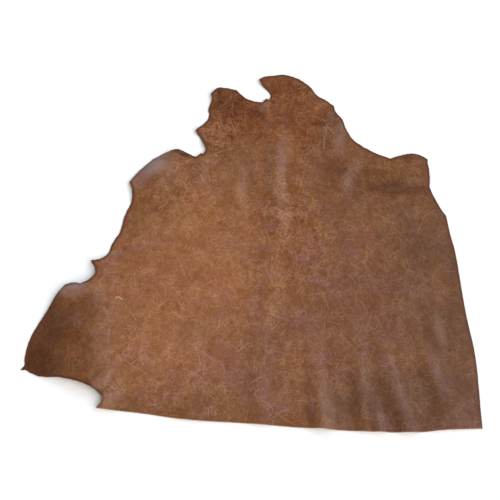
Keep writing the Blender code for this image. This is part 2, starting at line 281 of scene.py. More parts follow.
# Where the marks of the grain stand out more or less (below 0), and the hue changes more or less,
# than elsewhere: name, centre, reach along and across, turn in degrees, how much for each
MARKINGS = [
    ("left neck", (-90, 430), (220, 190), 0, 0.85, -0.5),
    ("right neck", (180, 430), (200, 230), 0, 0.5, -0.5),
    ("middle", (130, 40), (330, 170), 90, 0.3),
    ("left middle", (-200, -180), (400, 300), 75, -0.1, -0.55),
    ("left flap", (-220, 190), (220, 150), 40, 0.2, -0.3),
    ("foreleg", (-570, -320), (220, 150), 80, 0.0, -0.3),
    ("right edge", (600, -250), (400, 160), 90, -0.12),
    ("right flap", (480, 180), (200, 130), 0, 0.25, -0.5),
]

# Old storage fold lines, with a soft step of painted sheen and shade on the right of each line: cooler
# there, darker on the upright fold and lighter on the other two. Columns: name, start, end, how far
# the step fades out on the right of the line, and what it adds to the lightness and to the warmth there
PAINTED_LIGHT_STEPS = [
    ("upright fold", (54, 60), (46, -612), 150, -0.07, -0.45),
    ("level fold", (-600, -352), (40, -352), 110, 0.06, -0.35),
    ("flap fold", (580, 140), (330, -40), 170, 0.06, -0.5),
]

# Long pale scars: name, start, middle and end, width, strength
SCARS = [
    ("neck scar", (-44, 532), (-58, 479), (-72, 424), 2.4, 0.17),
    ("right flap scar", (590, 82), (552, 60), (526, 6), 2.4, 0.22),
    ("chest nick", (-396, -214), (-388, -212), (-378, -219), 4.0, 0.9),
    ("upper scratch", (-286, 90), (-270, 99), (-258, 112), 2.8, 0.50),
    ("flap scratch", (-242, 224), (-214, 250), (-190, 268), 2.2, 0.36),
    ("neck cross scratch", (262, 420), (232, 438), (200, 452), 2.2, 0.30),
]

# The soft lamps, all far away: name, azimuth and elevation in degrees (azimuth 0 is the camera's
# side, 90 is the right), width seen from the hide in degrees, strength and colour
LAMPS = [
    ("right window", 124, 36, 30, 0.80, (0.52, 0.76, 1.0)),
    ("back window", 205, 22, 32, 0.95, (0.62, 0.82, 1.0)),
    ("side softbox", 62, 46, 58, 2.75, (1.0, 0.97, 0.94)),
]

LAMP_DISTANCE = 6.0

# The camera: photo point aimed at, on the floor, and how it looks at it
CAMERA_AIM = (3.0, -55.7)
CAMERA_ELEVATION = 65.0
CAMERA_DISTANCE = 2.14
CAMERA_LENS = 50.0
FLOOR_SIDE = 40.0


def length_property(name, description, default, least=0.0):
    """A setting for a length. Its default and its least value are given in millimetres."""
    return bpy.props.FloatProperty(
        name=name, description=description, default=default * MM, min=least * MM, unit="LENGTH"
    )


def factor_property(name, description, default, least=0.0, **settings):
    """A setting for a plain number."""
    return bpy.props.FloatProperty(
        name=name, description=description, default=default, min=least, **settings
    )


def colour_property(name, description, *default):
    """A setting for a colour, whose default is given as red, green and blue."""
    return bpy.props.FloatVectorProperty(
        name=name,
        description=description,
        subtype="COLOR",
        size=4,
        min=0.0,
        max=1.0,
        default=(*default, 1.0),
    )


class HideShape(bpy.types.PropertyGroup):
    """The sizes of the sheet and of its raw edge."""

    thickness: length_property("Thickness", "Thickness of the leather", 2.0, 0.5)
    pitch: length_property("Pitch", "Distance between points inside the sheet", 5.4, 3.0)
    edge_step: length_property("Edge Step", "Longest step between points along the edge", 2.6, 1.0)
    natural_rag: length_property("Natural Rag", "How far the untrimmed edge wanders", 1.2)
    cut_rag: length_property("Cut Rag", "How far the trimmed edge wanders", 0.35)
    relief_size: length_property("Relief Size", "Distance between the small rises", 42.0, 15.0)
    relief_height: length_property("Relief Height", "Height of the small rises", 1.5)
    seed: bpy.props.IntProperty(
        name="Seed",
        description="Picks the wander of the edge and the small rises",
        default=7,
        min=0,
    )


class HideFinish(bpy.types.PropertyGroup):
    """The colours and the shine of the leather."""

    brown: colour_property("Brown", "Main dye of the grain side", 0.245, 0.102, 0.052)
    umber: colour_property("Umber", "Darker mottles of the dye", 0.122, 0.031, 0.002)
    # Dark also gives the painted shade along the untrimmed edge of the top.
    dark: colour_property("Dark", "Browned rim and untrimmed edge", 0.088, 0.024, 0.006)
    deep_tint: colour_property("Deep Tint", "What a deep shade leaves of the dye", 0.46, 0.32, 0.17)
    # The colour of the painted sheen, a mauve-grey reflection on ridges and flats.
    painted_sheen_colour: colour_property("Painted Sheen", "Dulled wax on ridges and flats", 0.262, 0.144, 0.114)
    ochre: colour_property("Ochre", "Yellower areas of the dye", 0.232, 0.112, 0.046)
    orange: colour_property("Orange", "Warmer areas of the dye", 0.270, 0.102, 0.031)
    cool: colour_property("Cool", "Greyer areas of the dye", 0.205, 0.092, 0.081)
    pale: colour_property("Pale", "Pull-up lines, scuffs and scars", 0.460, 0.255, 0.150)
    flesh: colour_property("Flesh", "Suede of the underside", 0.330, 0.185, 0.105)
    raw_edge: colour_property("Raw Edge", "Fibres of a trimmed edge", 0.520, 0.330, 0.200)
    roughness: factor_property(
        "Roughness", "Roughness of the waxed grain", 0.42, 0.05, max=1.0, subtype="FACTOR"
    )


class HideStudio(bpy.types.PropertyGroup):
    """The floor and the light."""

    floor: colour_property("Floor", "Colour of the floor", 0.90, 0.90, 0.90)
    sky_colour: colour_property("Sky Colour", "Colour of the even light all round", 1.0, 0.94, 0.87)
    sky: factor_property("Sky", "Strength of the even light all round", 0.38)
    lamp_scale: factor_property("Lamp Scale", "Multiplies the power of every lamp", 1.0)


class LeatherHideSettings(bpy.types.PropertyGroup):
    """All settings of the hide."""

    shape: bpy.props.PointerProperty(type=HideShape)
    finish: bpy.props.PointerProperty(type=HideFinish)
    studio: bpy.props.PointerProperty(type=HideStudio)


def set_inputs(node, inputs):
    """Gives each input, by its name or number, a value or the socket that feeds it."""
    for key, value in inputs.items():
        if isinstance(value, bpy.types.NodeSocket):
            node.id_data.links.new(value, node.inputs[key])
        else:
            node.inputs[key].default_value = value


def add_node(kind, inputs, **settings):
    """A new node with its settings and inputs, in the node tree of the sockets that feed it."""
    trees = [value.id_data for value in inputs.values() if isinstance(value, bpy.types.NodeSocket)]
    made = trees[0].nodes.new(kind)
    for name, value in settings.items():
        setattr(made, name, value)
    set_inputs(made, inputs)
    return made


def maths(operation, *values):
    """The result of a maths node on one to three numbers or sockets."""
    return add_node("ShaderNodeMath", dict(enumerate(values)), operation=operation).outputs[0]


def multiply(first, *others):
    """The product of two or more numbers or sockets."""
    for other in others:
        first = maths("MULTIPLY", first, other)
    return first


def add(first, *others):
    """The sum of two or more numbers or sockets."""
    for other in others:
        first = maths("ADD", first, other)
    return first


def less_half(value):
    """A value from 0 to 1 moved to -0.5 to 0.5."""
    return maths("SUBTRACT", value, 0.5)


def vector_maths(operation, *values, output=0):
    """The result of a vector maths node."""
    inputs = dict(enumerate(values))
    return add_node("ShaderNodeVectorMath", inputs, operation=operation).outputs[output]


def scaled(vector, factor):
    """A vector times a number."""
    inputs = {"Vector": vector, "Scale": factor}
    return add_node("ShaderNodeVectorMath", inputs, operation="SCALE").outputs[0]


def ramp(value, start, end, low=0.0, high=1.0):
    """The value mapped smoothly from start..end to low..high."""
    inputs = {"Value": value, "From Min": start, "From Max": end, "To Min": low, "To Max": high}
    return add_node("ShaderNodeMapRange", inputs, interpolation_type="SMOOTHSTEP").outputs[0]


def fade(value, start, end):
    """1 where the value is up to start, falling smoothly to 0 at end."""
    return ramp(value, start, end, 1.0, 0.0)


def mix_colours(share, first, second, blend="MIX", beyond=False):
    """One colour mixed over another by a share, which may pass 1 where beyond is set."""
    settings = {"data_type": "RGBA", "blend_type": blend}
    settings |= {"clamp_factor": not beyond, "clamp_result": beyond}
    return add_node("ShaderNodeMix", {0: share, 6: first, 7: second}, **settings).outputs[2]


def noise_texture(place, scale, detail, roughness=0.5, distortion=0.0, dimensions="2D"):
    """The outputs of a noise texture, flat unless its dimensions say 3D."""
    inputs = {"Vector": place, "Scale": scale, "Detail": detail}
    inputs |= {"Roughness": roughness, "Distortion": distortion}
    return add_node("ShaderNodeTexNoise", inputs, noise_dimensions=dimensions).outputs


def cell_texture(place, feature):
    """The outputs of a flat texture of uneven cells, one to each unit of the place."""
    settings = {"feature": feature, "voronoi_dimensions": "2D"}
    return add_node("ShaderNodeTexVoronoi", {"Vector": place, "Scale": 1.0}, **settings).outputs


def sway(place, scale, detail, reach):
    """The place moved about by up to half the reach, so that straight lines wander."""
    bend = noise_texture(place, scale, detail)["Color"]
    bend = vector_maths("SUBTRACT", bend, (0.5, 0.5, 0.5))
    return vector_maths("ADD", place, vector_maths("MULTIPLY", bend, (reach, reach, 0.0)))


def new_group(name, output="Mask", **inputs):
    """A shader node group: its tree, its input sockets and the output that its result goes to.

    It takes a place, Vector, and the given inputs: a number's default, or None for a vector.
    """
    tree = bpy.data.node_groups.new(name, "ShaderNodeTree")
    for label, default in {"Vector": None, **inputs}.items():
        kind = "NodeSocketVector" if default is None else "NodeSocketFloat"
        socket = tree.interface.new_socket(label, in_out="INPUT", socket_type=kind)
        if default is not None:
            socket.default_value = default
    tree.interface.new_socket(output, in_out="OUTPUT", socket_type="NodeSocketFloat")
    given = tree.nodes.new("NodeGroupInput").outputs
    return tree, given, tree.nodes.new("NodeGroupOutput").inputs[output]


def use_group(group, place, **inputs):
    """The result of a node group at a place."""
    return add_node("ShaderNodeGroup", {"Vector": place, **inputs}, node_tree=group).outputs[0]


def sized(given):
    """The place that a group is given, in units of its Size."""
    return vector_maths("DIVIDE", given["Vector"], given["Size"])


def blotch_group():
    """Soft uneven blotches: a mask from 0 to 1."""
    tree, given, result = new_group("Blotches", Size=40.0, Contrast=0.12, Seed=0.0)
    place = vector_maths("ADD", sized(given), given["Seed"])
    value = noise_texture(place, 1.0, 3.0, 0.6, 0.4)["Fac"]
    low = maths("SUBTRACT", 0.5, given["Contrast"])
    tree.links.new(ramp(value, low, add(0.5, given["Contrast"])), result)
    return tree


def stroke_group():
    """Thin pale strokes, at most one in each cell of a turned grid: a mask from 0 to 1."""
    tree, given, result = new_group("Stroke Lines", **dict.fromkeys(STROKE_INPUTS, 0.0))
    turned = {"Vector": given["Vector"], "Angle": given["Angle"]}
    turned = add_node("ShaderNodeVectorRotate", turned, rotation_type="Z_AXIS").outputs[0]
    size = {"X": given["Spacing"], "Y": given["Length"], "Z": 1.0}
    size = add_node("ShaderNodeCombineXYZ", size).outputs[0]
    place = vector_maths("ADD", vector_maths("DIVIDE", turned, size), given["Seed"])
    place = vector_maths("MULTIPLY", place, (1.0, 1.0, 0.0))
    cell = vector_maths("FLOOR", place)
    within = add_node("ShaderNodeSeparateXYZ", {0: vector_maths("SUBTRACT", place, cell)}).outputs
    chance = {"Vector": vector_maths("ADD", cell, given["Seed"])}
    chance = add_node("ShaderNodeTexWhiteNoise", chance).outputs
    picks = add_node("ShaderNodeSeparateColor", {0: chance["Color"]}).outputs

    along = less_half(within["Y"])
    lean = multiply(less_half(picks["Green"]), along)
    bow = multiply(less_half(picks["Blue"]), multiply(along, along))
    offset = multiply(less_half(picks["Red"]), 0.45)
    middle = add(offset, add(lean, multiply(bow, 0.7)))
    across = maths("SUBTRACT", less_half(within["X"]), middle)
    gap = multiply(maths("ABSOLUTE", across), given["Spacing"])
    line = fade(gap, 0.0, given["Width"])
    reach = maths("MULTIPLY_ADD", picks["Green"], 0.28, 0.18)
    ends = fade(maths("ABSOLUTE", along), multiply(reach, 0.4), reach)
    shown = maths("LESS_THAN", chance["Value"], given["Cover"])
    force = maths("MULTIPLY_ADD", picks["Blue"], 0.7, 0.3)
    mask = multiply(multiply(line, ends), multiply(shown, force))
    bunch = vector_maths("DIVIDE", given["Vector"], (STROKE_BUNCH,) * 3)
    bunch = noise_texture(vector_maths("ADD", bunch, given["Seed"]), 1.0, 1.0)["Fac"]
    tree.links.new(multiply(mask, ramp(bunch, 0.36, 0.58, 0.25, 1.0)), result)
    return tree


def crackle_group():
    """A net of fine cracks that fades in and out: a mask from 0 to 1."""
    tree, given, result = new_group("Crackle", Size=14.0, Thickness=0.08, Cover=0.5)
    place = sized(given)
    cells = cell_texture(sway(place, 0.8, 2.0, 0.5), "DISTANCE_TO_EDGE")
    line = fade(cells["Distance"], 0.0, given["Thickness"])
    gaps = noise_texture(place, 0.31, 2.0)["Fac"]
    start = maths("SUBTRACT", 0.72, multiply(given["Cover"], 0.44))
    tree.links.new(multiply(line, ramp(gaps, start, add(start, 0.16))), result)
    return tree


def spot_group():
    """Round soft dark spots, far apart: a mask from 0 to 1."""
    tree, given, result = new_group("Dye Spots", Size=46.0)
    cells = cell_texture(sized(given), "F1")
    picks = add_node("ShaderNodeSeparateColor", {0: cells["Color"]}).outputs
    reach = maths("MULTIPLY_ADD", picks["Red"], 0.22, 0.12)
    spot = fade(cells["Distance"], multiply(reach, 0.3), reach)
    tree.links.new(multiply(spot, ramp(picks["Green"], 0.35, 0.85)), result)
    return tree


def scar_group():
    """One straight scar between two places: a mask that is 1 on the line."""
    tree, given, result = new_group("Scar Line", Start=None, End=None, Width=3.0)
    flat = vector_maths("MULTIPLY", given["Vector"], (1.0, 1.0, 0.0))
    reach = vector_maths("SUBTRACT", flat, given["Start"])
    run = vector_maths("SUBTRACT", given["End"], given["Start"])
    dot = vector_maths("DOT_PRODUCT", reach, run, output=1)
    along = maths("DIVIDE", dot, vector_maths("DOT_PRODUCT", run, run, output=1))
    along.node.use_clamp = True
    gap = vector_maths("DISTANCE", reach, scaled(run, along), output=1)
    tree.links.new(fade(gap, 0.0, given["Width"]), result)
    return tree


def pebble_group():
    """The fine pebbled grain of leather, as a height from 0 to 1."""
    tree, given, result = new_group("Pebble Grain", "Height", Size=1.4)
    place = sized(given)
    domes = ramp(cell_texture(place, "DISTANCE_TO_EDGE")["Distance"], 0.0, 0.35)
    pores = noise_texture(place, 0.45, 2.0, 0.6)["Fac"]
    tree.links.new(add(multiply(domes, 0.6), multiply(pores, 0.8)), result)
    return tree


def nap_group():
    """Matted fibres: a mask from 0 to 1."""
    tree, given, result = new_group("Fibre Nap", Size=1.0)
    fibres = noise_texture(sized(given), 1.0, 5.0, 0.72, 2.4, "3D")["Fac"]
    tree.links.new(ramp(fibres, 0.3, 0.7), result)
    return tree


def attribute(tree, name):
    """A value stored on the sheet's points."""
    made = tree.nodes.new("ShaderNodeAttribute")
    made.attribute_name = name
    return made.outputs["Fac"]


def new_material(name):
    """An empty node material: its tree, its Principled shader and the place in millimetres."""
    material = bpy.data.materials.new(name)
    material.use_nodes = True
    tree = material.node_tree
    place = tree.nodes.new("ShaderNodeTexCoord").outputs["Object"]
    return material, tree, tree.nodes["Principled BSDF"], scaled(place, 1.0 / MM)


def bumped(height, distance):
    """The normal of a surface that a height from 0 to 1 raises by up to a distance."""
    inputs = {"Height": height, "Distance": distance, "Strength": 1.0}
    return add_node("ShaderNodeBump", inputs).outputs["Normal"]


# The pale strokes of the grain: turn in degrees, spacing, length and width in millimetres,
# share of the cells that have one, strength, seed
STROKES = [
    (8, 62, 150, 2.4, 0.36, 0.66, 3.1),
    (61, 56, 140, 2.4, 0.44, 0.72, 23.9),
    (117, 64, 150, 2.4, 0.36, 0.66, 51.1),
    (156, 58, 134, 2.4, 0.36, 0.62, 61.3),
    (33, 30, 66, 2.2, 0.55, 0.58, 11.7),
    (88, 29, 60, 2.2, 0.55, 0.54, 37.3),
    (140, 32, 68, 2.2, 0.55, 0.58, 67.7),
    (172, 29, 62, 2.2, 0.55, 0.54, 71.9),
    (20, 13, 28, 2.0, 0.75, 0.42, 79.3),
    (76, 12, 24, 2.0, 0.75, 0.40, 83.9),
    (131, 13, 26, 2.0, 0.75, 0.42, 97.1),
]
STROKE_INPUTS = ("Angle", "Spacing", "Length", "Width", "Cover", "Seed")
# Strokes are denser and sparser over about this far, in millimetres
STROKE_BUNCH = 62.0

# The blotches of the grain: name, size in millimetres, contrast, seed
BLOTCHES = [
    ("broad", 130.0, 0.14, 4.0),
    ("marbled", 96.0, 0.13, 31.0),
    ("scuffed", 80.0, 0.16, 57.0),
    ("reddish", 56.0, 0.16, 19.0),
    ("ochre", 40.0, 0.18, 66.0),
    ("patches", 30.0, 0.18, 88.0),
    ("fine", 15.0, 0.18, 43.0),
    ("grains", 4.6, 0.20, 71.0),
]

# How far the marks of the grain darken and lighten the dye on the average
MEAN_SHADE = 0.58
MEAN_RUB = 0.08


def strongest(masks):
    """The greatest of several masks at each place."""
    total = masks[0]
    for mask in masks[1:]:
        total = maths("MAXIMUM", total, mask)
    return total


def scar_mask(place):
    """All scars together, each as two straight runs."""
    group = scar_group()
    masks = []
    for _name, start, middle, end, width, strength in SCARS:
        for first, last in ((start, middle), (middle, end)):
            ends = {"Start": (*first, 0.0), "End": (*last, 0.0)}
            masks.append(multiply(use_group(group, place, Width=width, **ends), strength))
    return strongest(masks)


def stroke_mask(place):
    """All pale strokes together."""
    group = stroke_group()
    masks = []
    for degrees, spacing, length, width, cover, strength, seed in STROKES:
        values = (math.radians(degrees), spacing, length, width, cover, seed)
        inputs = dict(zip(STROKE_INPUTS, values))
        masks.append(multiply(use_group(group, place, **inputs), strength))
    return strongest(masks)


def grain_colour(tree, finish, mask):
    """The colour of the top side, from its named masks and the values stored on the sheet."""
    hue = multiply(less_half(mask["patches"]), 1.05)
    hue = maths("MULTIPLY_ADD", less_half(mask["marbled"]), 1.5, hue)
    hue = maths("MULTIPLY_ADD", hue, attribute(tree, "hues"), attribute(tree, "warmth"))
    colour = mix_colours(ramp(hue, 0.0, 1.3), finish.brown, finish.orange)
    colour = mix_colours(ramp(hue, 0.0, -1.3), colour, finish.cool)
    yellow = add(multiply(mask["broad"], 0.45), multiply(mask["ochre"], 0.5))
    colour = mix_colours(yellow, colour, finish.ochre)
    plain = mix_colours(MEAN_SHADE, colour, finish.umber)
    plain = mix_colours(MEAN_RUB, plain, finish.pale)
    for name, share in (("reddish", 0.50), ("fine", 0.48), ("grains", 0.54), ("spots", 0.6)):
        colour = mix_colours(multiply(mask[name], share), colour, finish.umber)
    for name, share in (("crackle", 0.24), ("strokes", 0.56)):
        colour = mix_colours(multiply(mask[name], share), colour, finish.pale)
    colour = mix_colours(attribute(tree, "markings"), plain, colour, beyond=True)

    # The patches' and steps' lightness: the dye's uneven tone together with painted light and shade.
    light = add(attribute(tree, "lightness"), 1.0)
    light = add_node("ShaderNodeCombineColor", dict.fromkeys(range(3), light)).outputs[0]
    colour = mix_colours(1.0, colour, light, "MULTIPLY")
    # Depth multiplies in the deep tint: painted shade on lobes and folds turned from the lamps, and
    # darker dye.
    depth = maths("MINIMUM", attribute(tree, "depth"), 0.95)
    colour = mix_colours(depth, colour, finish.deep_tint, "MULTIPLY")
    # Painted sheen: a mauve-grey reflection laid on the ridges, slopes and flats.
    colour = mix_colours(attribute(tree, "rubbed"), colour, finish.painted_sheen_colour)
    colour = mix_colours(mask["scars"], colour, finish.pale)

    gap, paleness = attribute(tree, "edge_gap"), attribute(tree, "paleness")
    # Painted shade along the edge, together with its browned colour: the top darkens toward Dark within
    # 11 mm of the edge, fading from 3.5 mm, and least along the pale trimmed edges.
    browned_and_shaded = maths("MULTIPLY_ADD", paleness, -0.85, 0.85)
    browned_and_shaded = multiply(fade(gap, 3.5, 11.0), browned_and_shaded)
    colour = mix_colours(browned_and_shaded, colour, finish.dark)
    worn = multiply(fade(gap, 0.0, 3.5), multiply(paleness, 0.5))
    return mix_colours(worn, colour, finish.raw_edge)


def grain_material(finish, blotch):
    """The waxed, scuffed top side."""
    material, tree, shader, place = new_material("leather grain")
    mask = {}
    for name, size, contrast, seed in BLOTCHES:
        mask[name] = use_group(blotch, place, Size=size, Contrast=contrast, Seed=seed)
    strokes = stroke_mask(sway(place, 0.012, 1.0, 12.0))
    mask["strokes"] = multiply(strokes, maths("MULTIPLY_ADD", mask["scuffed"], 0.55, 0.65))
    mask["crackle"] = use_group(crackle_group(), place, Size=13.0, Thickness=0.13)
    mask["spots"] = use_group(spot_group(), place)
    mask["scars"] = scar_mask(place)

    rough = add(finish.roughness - 0.04, multiply(mask["reddish"], 0.08))
    rough = add(rough, multiply(mask["strokes"], 0.10))
    pebbles = use_group(pebble_group(), place, Size=1.5)
    height = add(multiply(pebbles, 0.10), multiply(mask["crackle"], -0.10))
    height = add(height, multiply(noise_texture(place, 1 / 12, 2.0)["Fac"], 0.45))
    inputs = {"Base Color": grain_colour(tree, finish, mask), "Roughness": rough}
    inputs |= {"Specular IOR Level": 0.30, "Normal": bumped(height, MM)}
    set_inputs(shader, inputs)
    return material


def flesh_material(finish, blotch, fibres):
    """The suede underside."""
    material, _tree, shader, place = new_material("leather flesh")
    nap = use_group(fibres, place, Size=2.2)
    blotches = use_group(blotch, place, Size=60.0, Seed=8.0)
    colour = mix_colours(multiply(blotches, 0.3), finish.flesh, finish.brown)
    colour = mix_colours(multiply(nap, 0.35), colour, finish.raw_edge)
    inputs = {"Base Color": colour, "Roughness": 0.92, "Sheen Weight": 0.25}
    set_inputs(shader, {**inputs, "Normal": bumped(nap, 0.4 * MM)})
    return material


def edge_material(finish, fibres):
    """The raw edge: tan fibres where it was trimmed, dark brown elsewhere."""
    material, tree, shader, place = new_material("leather raw edge")
    nap = use_group(fibres, place, Size=0.9)
    colour = mix_colours(attribute(tree, "paleness"), finish.dark, finish.raw_edge)
    colour = mix_colours(multiply(nap, 0.4), colour, finish.brown)
    set_inputs(shader, {"Base Color": colour, "Roughness": 0.9, "Normal": bumped(nap, 0.3 * MM)})
    return material


def hide_materials(finish):
    """The three sides of the leather: grain, flesh and raw edge."""
    blotch, fibres = blotch_group(), nap_group()
    return [
        grain_material(finish, blotch),
        flesh_material(finish, blotch, fibres),
        edge_material(finish, fibres),
    ]


def outline_points(step):
    """Points around the outline about a step apart, and for each whether it was trimmed and how pale."""
    curve = bpy.data.curves.new("hide outline", "CURVE")
    spline = curve.splines.new("BEZIER")
    rows = [(row, cut) for stretch, *cut in STRETCHES for row in stretch]
    spline.bezier_points.add(len(rows) - 1)
    spline.use_cyclic_u = True
    for point, ((x, y, *sharp), _cut) in zip(spline.bezier_points, rows):
        point.co = (x * MM, y * MM, 0.0)
        point.handle_left_type = point.handle_right_type = sharp[0] if sharp else "AUTO"
    knots = list(spline.bezier_points)
    points, cuts = [], []
    for start, end, (_row, cut) in zip(knots, knots[1:] + knots[:1], rows):
        count = max(2, math.ceil((end.co - start.co).length / step) + 1)
        stretch = interpolate_bezier(start.co, start.handle_right, end.handle_left, end.co, count)
        points += [(p.x, p.y) for p in stretch[:-1]]
        cuts += [cut] * (count - 1)
    bpy.data.curves.remove(curve)
    trimmed, paleness = np.array(cuts, dtype=float).T
    return np.array(points), trimmed, paleness


def ragged(points, trimmed, shape):
    """The outline moved in and out a little, as a hand-cut and a natural edge wander."""
    along = np.roll(points, -1, axis=0) - np.roll(points, 1, axis=0)
    outward = np.stack([along[:, 1], -along[:, 0]], axis=1)
    outward /= np.linalg.norm(outward, axis=1)[:, None]
    moved = []
    for (x, y), (out_x, out_y), cut in zip(points, outward, trimmed):
        reach = shape.cut_rag if cut else shape.natural_rag
        coarse = noise.noise(Vector((x / (16 * MM), y / (16 * MM), shape.seed)))
        fine = noise.noise(Vector((x / (5 * MM), y / (5 * MM), shape.seed + 9.5)))
        shift = reach * (coarse + 0.5 * fine)
        moved.append((x + out_x * shift, y + out_y * shift))
    return np.array(moved)


def inside(points, outline):
    """Which points lie inside the outline, by the number of edges that a ray toward +X crosses."""
    crossings = np.zeros(len(points), dtype=int)
    x, y = points[:, 0], points[:, 1]
    for (ax, ay), (bx, by) in zip(outline, np.roll(outline, -1, axis=0)):
        spans = (ay > y) != (by > y)
        if ay != by:
            crossings += spans & (x < ax + (y - ay) * (bx - ax) / (by - ay))
    return crossings % 2 == 1


def edge_tree(outline):
    """A search tree of the outline's points."""
    tree = kdtree.KDTree(len(outline))
    for number, (x, y) in enumerate(outline):
        tree.insert((x, y, 0.0), number)
    tree.balance()
    return tree


def lattice_points(outline, pitch):
    """A staggered lattice over the inside of the outline, clear of the edge."""
    low, high = outline.min(axis=0), outline.max(axis=0)
    rows = np.arange(low[1], high[1], pitch * ROW_SHARE)
    points = []
    for number, y in enumerate(rows):
        shift = pitch / 2 if number % 2 else 0.0
        xs = np.arange(low[0] + shift, high[0], pitch)
        points.append(np.stack([xs, np.full_like(xs, y)], axis=1))
    points = np.concatenate(points)
    points = points[inside(points, outline)]
    tree = edge_tree(outline)
    gaps = np.array([tree.find((x, y, 0.0))[2] for x, y in points])
    return points[gaps > pitch * EDGE_CLEARANCE]


def crest_points(start, middle, end):
    """Points and shares along the curve that passes through a crest's three places."""
    start, middle, end = (Vector(place) for place in (start, middle, end))
    bend = 2.0 * middle - 0.5 * (start + end)
    shares = np.linspace(0.0, 1.0, CREST_STEPS + 1)
    return [start * (1 - t) ** 2 + bend * 2 * t * (1 - t) + end * t**2 for t in shares], shares


def fold_height(x, y, crest, heights, reaches):
    """The height of one soft ridge at each point, in millimetres."""
    points, shares = crest_points(*crest)
    nearest = np.full_like(x, np.inf)
    share_there = np.zeros_like(x)
    side = np.zeros_like(x)
    for start, end, low, high in zip(points, points[1:], shares, shares[1:]):
        run = end - start
        along = ((x - start.x) * run.x + (y - start.y) * run.y) / run.length_squared
        along = np.clip(along, 0.0, 1.0)
        off_x = x - start.x - along * run.x
        off_y = y - start.y - along * run.y
        gap = np.hypot(off_x, off_y)
        closer = gap < nearest
        nearest = np.where(closer, gap, nearest)
        share_there = np.where(closer, low + along * (high - low), share_there)
        # +1 straight to the left of the crest, -1 straight to its right, 0 beyond its ends
        sideways = (run.x * off_y - run.y * off_x) / (run.length * np.maximum(gap, 1e-6))
        side = np.where(closer, sideways, side)
    reach = 0.5 * (reaches[0] + reaches[1]) + 0.5 * (reaches[0] - reaches[1]) * side
    height = np.interp(share_there, (0.0, 0.5, 1.0), heights)
    return height * 0.5 * (1.0 + np.cos(math.pi * np.minimum(nearest / reach, 1.0)))


def swell_height(x, y):
    """The height of the hide's slow swell at each point, in millimetres."""
    total = np.zeros_like(x)
    for degrees, wavelength, phase in SWELLS:
        turn = math.radians(degrees)
        total += np.cos((x * math.cos(turn) + y * math.sin(turn)) * math.tau / wavelength + phase)
    return SWELL_HEIGHT * np.maximum(total / len(SWELLS) - SWELL_START, 0.0) ** 2


def relief_height(points, shape):
    """The small rises of the loose leather between which it touches the floor, in metres."""
    size = shape.relief_size
    seed = shape.seed + 3.7
    rises = [noise.noise((x / size, y / size, seed)) for x, y in points]
    ripples = [noise.noise((2.1 * x / size, 2.1 * y / size, seed + 8.0)) for x, y in points]
    return shape.relief_height * np.maximum(np.array(rises) + 0.45 * np.array(ripples) + 0.1, 0.0)


def underside_height(points, shape):
    """How far the underside stands off the floor at each point, in metres."""
    x, y = points[:, 0] / MM, points[:, 1] / MM
    total = swell_height(x, y)
    for _name, start, middle, end, heights, reaches in FOLDS + CREASES:
        total += fold_height(x, y, (start, middle, end), heights, reaches)
    return total * MM + relief_height(points, shape)


def patch_sums(points, patches):
    """What soft oval patches add to each of their amounts at each point."""
    x, y = points[:, 0] / MM, points[:, 1] / MM
    total = np.zeros((len(patches[0]) - 4, len(points)))  # the first row has all its amounts
    for _name, centre, reaches, degrees, *amounts in patches:
        turn = math.radians(degrees)
        along = (x - centre[0]) * math.cos(turn) + (y - centre[1]) * math.sin(turn)
        across = (y - centre[1]) * math.cos(turn) - (x - centre[0]) * math.sin(turn)
        gap = np.hypot(along / reaches[0], across / reaches[1])
        share = 0.5 * (1.0 + np.cos(math.pi * np.clip((gap - 0.3) / 0.7, 0.0, 1.0)))
        total[: len(amounts)] += np.outer(amounts, share)
    return total


def painted_light_step_sums(points):
    """What the painted light steps add to the lightness and to the warmth at each point."""
    x, y = points[:, 0] / MM, points[:, 1] / MM
    light, warmth = np.zeros_like(x), np.zeros_like(x)
    for _name, start, end, fade, light_step, warmth_step in PAINTED_LIGHT_STEPS:
        run = Vector(end) - Vector(start)
        along = ((x - start[0]) * run.x + (y - start[1]) * run.y) / run.length_squared
        right = ((x - start[0]) * run.y - (y - start[1]) * run.x) / run.length
        share = np.clip(right / 6.0, 0.0, 1.0) * np.clip(1.0 - right / fade, 0.0, 1.0)
        share *= np.clip(along * 6.0, 0.0, 1.0) * np.clip((1.0 - along) * 6.0, 0.0, 1.0)
        light += light_step * share
        warmth += warmth_step * share
    return light, warmth


def store(mesh, **amounts):
    """Stores one number of each name for each point of a mesh."""
    for name, values in amounts.items():
        layer = mesh.attributes.new(name, "FLOAT", "POINT")
        layer.data.foreach_set("value", np.asarray(values, dtype=np.float32))


def settle(thing):
    """Turns an object's modifiers into its plain mesh."""
    bpy.context.view_layer.update()
    evaluated = thing.evaluated_get(bpy.context.evaluated_depsgraph_get())
    mesh = bpy.data.meshes.new_from_object(evaluated)
    thing.modifiers.clear()
    thing.data = mesh
    return mesh


def new_object(name, mesh):
    """A new object in the scene's main collection."""
    thing = bpy.data.objects.new(name, mesh)
    bpy.context.scene.collection.objects.link(thing)
    return thing


